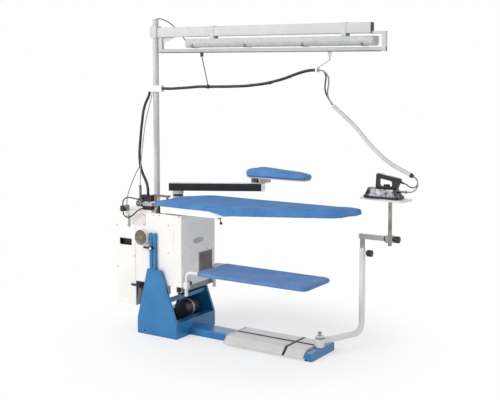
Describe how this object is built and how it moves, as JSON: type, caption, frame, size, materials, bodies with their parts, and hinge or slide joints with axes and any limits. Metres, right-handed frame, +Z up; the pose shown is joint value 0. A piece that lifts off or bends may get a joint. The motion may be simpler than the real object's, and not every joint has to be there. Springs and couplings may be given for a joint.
{
  "type": "vacuum ironing table",
  "caption": "Vacuum ironing table with side boiler cabinet, padded board, sleeve arm, garment tray, pedals, lamp gantry and a steam iron on a swing rest.",
  "frame": {"origin": "on the floor at the middle of the stand's floor plate", "axes": "+X towards the nose of the board and the end foot, +Y away from the operator's side with the valves, +Z up"},
  "size_m": [1.8454, 0.7699, 1.995],
  "materials": {
    "stand_blue": "gloss",
    "cabinet_white": "gloss",
    "frame_grey": "satin",
    "white_tube": "gloss",
    "pedal_grey": "satin",
    "black_metal": "satin",
    "rail_black": "satin",
    "black_plastic": "matte",
    "steel": "brushed",
    "chrome": "polished",
    "board_cloth": "woven",
    "tray_fabric": "woven",
    "hose_grey": "matte",
    "hose_braid": "braided",
    "hose_black": "matte",
    "grille_tan": "matte",
    "valve_brass": "cast",
    "motor_grey": "satin",
    "lamp_clear": "gloss"
  },
  "bodies": {
    "base": {"stand": "stand_blue", "foot_rail": "stand_blue", "pedal_hinges": "rail_black"},
    "head": {"cabinet": "cabinet_white", "cabinet_floor": "frame_grey", "boiler_cabinet": "cabinet_white", "boiler_lid": "frame_grey", "boiler_tank": "steel", "exhaust_grille": "grille_tan", "oval_plate": "steel", "fan_housing": "motor_grey", "fan_motor": "black_metal", "valve_stack": "valve_brass", "gland_spring": "steel", "board_pan": "frame_grey", "board_pad": "board_cloth", "swivel_foot": "frame_grey", "mast": "frame_grey", "overhead_frame": "frame_grey", "lamp_body": "cabinet_white", "lamp_cover": "lamp_clear", "near_hose_hanger": "frame_grey", "far_hose_hanger": "frame_grey", "bundle_drop": "hose_black", "bundle_span": "hose_black", "control_cable": "hose_grey", "valve_loop": "hose_black", "hose_strand_a": "hose_black", "hose_strand_b": "hose_black"},
    "lock_lever": {"lock_lever": "black_plastic"},
    "pedal_front_long": {"pedal_front_long": "pedal_grey"},
    "pedal_front_short": {"pedal_front_short": "pedal_grey"},
    "pedal_rear_long": {"pedal_rear_long": "pedal_grey"},
    "pedal_rear_short": {"pedal_rear_short": "pedal_grey"},
    "hub_nut": {"rest_hub_nut": "black_plastic"},
    "rest_arm": {"rest_swing_arm": "white_tube", "sleeve_upper": "hose_braid"},
    "height_knob": {"rest_height_knob": "black_plastic"},
    "rest_top": {"rest_cross_arm": "frame_grey", "rest_post": "steel", "sleeve_middle": "hose_braid"},
    "clamp_knob": {"rest_clamp_knob": "black_plastic"},
    "iron": {"iron_sole": "black_metal", "iron_dome": "chrome", "iron_handle": "black_plastic", "hose_end_cap": "black_plastic", "sleeve_lower": "hose_braid", "iron_cable": "hose_black", "steam_hose": "hose_black"},
    "iron_dial": {"iron_dial": "black_plastic"},
    "steam_button": {"iron_steam_button": "black_plastic"},
    "impeller": {"fan_impeller": "steel"},
    "drain_lever": {"drain_lever": "black_metal"},
    "air_lever": {"air_lever": "black_metal"},
    "swivel_arm": {"swivel_arm": "black_metal"},
    "sleeve_board": {"sleeve_bracket": "frame_grey", "sleeve_pad": "board_cloth"},
    "tray": {"tray_frame": "white_tube", "tray_cloth": "tray_fabric"},
    "tray_knob": {"tray_knob": "black_plastic"}
  },
  "joints": [
    {"name": "head_lift", "type": "slide", "parent": "base", "child": "head", "axis": [0, 0, 1], "range_m": [-0.06, 0.06], "deforming": ["hose_strand_a", "hose_strand_b"]},
    {"name": "lock_lever_turn", "type": "hinge", "parent": "head", "child": "lock_lever", "pos_m": [-0.0335, -0.212, 0.556], "axis": [0, 1, 0], "range_deg": [-60, 0]},
    {"name": "pedal_front_long_press", "type": "hinge", "parent": "base", "child": "pedal_front_long", "pos_m": [0.6725, -0.006, 0.051], "axis": [1, 0, 0], "range_deg": [0, 4.5], "stiffness_Nm_per_rad": 40, "springref_deg": -3.44},
    {"name": "pedal_front_short_press", "type": "hinge", "parent": "base", "child": "pedal_front_short", "pos_m": [0.9505, -0.006, 0.051], "axis": [1, 0, 0], "range_deg": [0, 4.5], "stiffness_Nm_per_rad": 12, "springref_deg": -3.44},
    {"name": "pedal_rear_long_press", "type": "hinge", "parent": "base", "child": "pedal_rear_long", "pos_m": [0.6725, 0.006, 0.051], "axis": [-1, 0, 0], "range_deg": [0, 4.5], "stiffness_Nm_per_rad": 40, "springref_deg": -3.44},
    {"name": "pedal_rear_short_press", "type": "hinge", "parent": "base", "child": "pedal_rear_short", "pos_m": [0.9505, 0.006, 0.051], "axis": [-1, 0, 0], "range_deg": [0, 4.5], "stiffness_Nm_per_rad": 12, "springref_deg": -3.44},
    {"name": "hub_nut_turn", "type": "hinge", "parent": "base", "child": "hub_nut", "pos_m": [1.046, 0, 0.11], "axis": [0, 0, 1], "range_deg": [-90, 90]},
    {"name": "rest_arm_swing", "type": "hinge", "parent": "base", "child": "rest_arm", "pos_m": [1.046, 0, 0.077], "axis": [0, 0, 1], "range_deg": [-8, 20], "deforming": ["sleeve_upper"]},
    {"name": "height_knob_turn", "type": "hinge", "parent": "rest_arm", "child": "height_knob", "pos_m": [1.2, 0.301, 0.573], "axis": [1, 0, 0], "range_deg": [-180, 180]},
    {"name": "rest_height", "type": "slide", "parent": "rest_arm", "child": "rest_top", "axis": [0, 0, 1], "range_m": [-0.04, 0.06], "deforming": ["sleeve_middle"]},
    {"name": "clamp_knob_turn", "type": "hinge", "parent": "rest_top", "child": "clamp_knob", "pos_m": [1.37, 0.301, 0.673], "axis": [1, 0, 0], "range_deg": [-180, 180]},
    {"name": "iron_lift", "type": "slide", "parent": "rest_top", "child": "iron", "axis": [0, 0, 1], "range_m": [0, 0.1], "deforming": ["sleeve_lower"]},
    {"name": "iron_dial_turn", "type": "hinge", "parent": "iron", "child": "iron_dial", "pos_m": [1.303, 0.34, 0.985], "axis": [0, 0, 1], "range_deg": [-135, 135]},
    {"name": "steam_button_press", "type": "slide", "parent": "iron", "child": "steam_button", "axis": [-0.1745, 0, -0.9847], "range_m": [0, 0.003], "stiffness_N_per_m": 300, "springref_m": -0.003},
    {"name": "impeller_spin", "type": "hinge", "parent": "head", "child": "impeller", "pos_m": [0.016, 0.12, 0.125], "axis": [0, 1, 0], "continuous": true},
    {"name": "drain_lever_turn", "type": "hinge", "parent": "head", "child": "drain_lever", "pos_m": [-0.15, -0.19, 0.3], "axis": [0, 1, 0], "range_deg": [-90, 0]},
    {"name": "air_lever_turn", "type": "hinge", "parent": "head", "child": "air_lever", "pos_m": [0.446, -0.16, 0.779], "axis": [0, 0, 1], "range_deg": [-45, 45]},
    {"name": "swivel_arm_turn", "type": "hinge", "parent": "head", "child": "swivel_arm", "pos_m": [-0.085, 0.135, 0.9], "axis": [0, 0, 1], "range_deg": [-70, 60]},
    {"name": "sleeve_board_turn", "type": "hinge", "parent": "swivel_arm", "child": "sleeve_board", "pos_m": [0.36584, 0.39008, 0.935], "axis": [0, 0, 1], "range_deg": [-60, 60]},
    {"name": "tray_lift", "type": "slide", "parent": "head", "child": "tray", "axis": [0, 0, 1], "range_m": [0, 0.045]},
    {"name": "tray_knob_turn", "type": "hinge", "parent": "head", "child": "tray_knob", "pos_m": [0.19, -0.12, 0.343], "axis": [0, 1, 0], "range_deg": [-180, 180]}
  ]
}
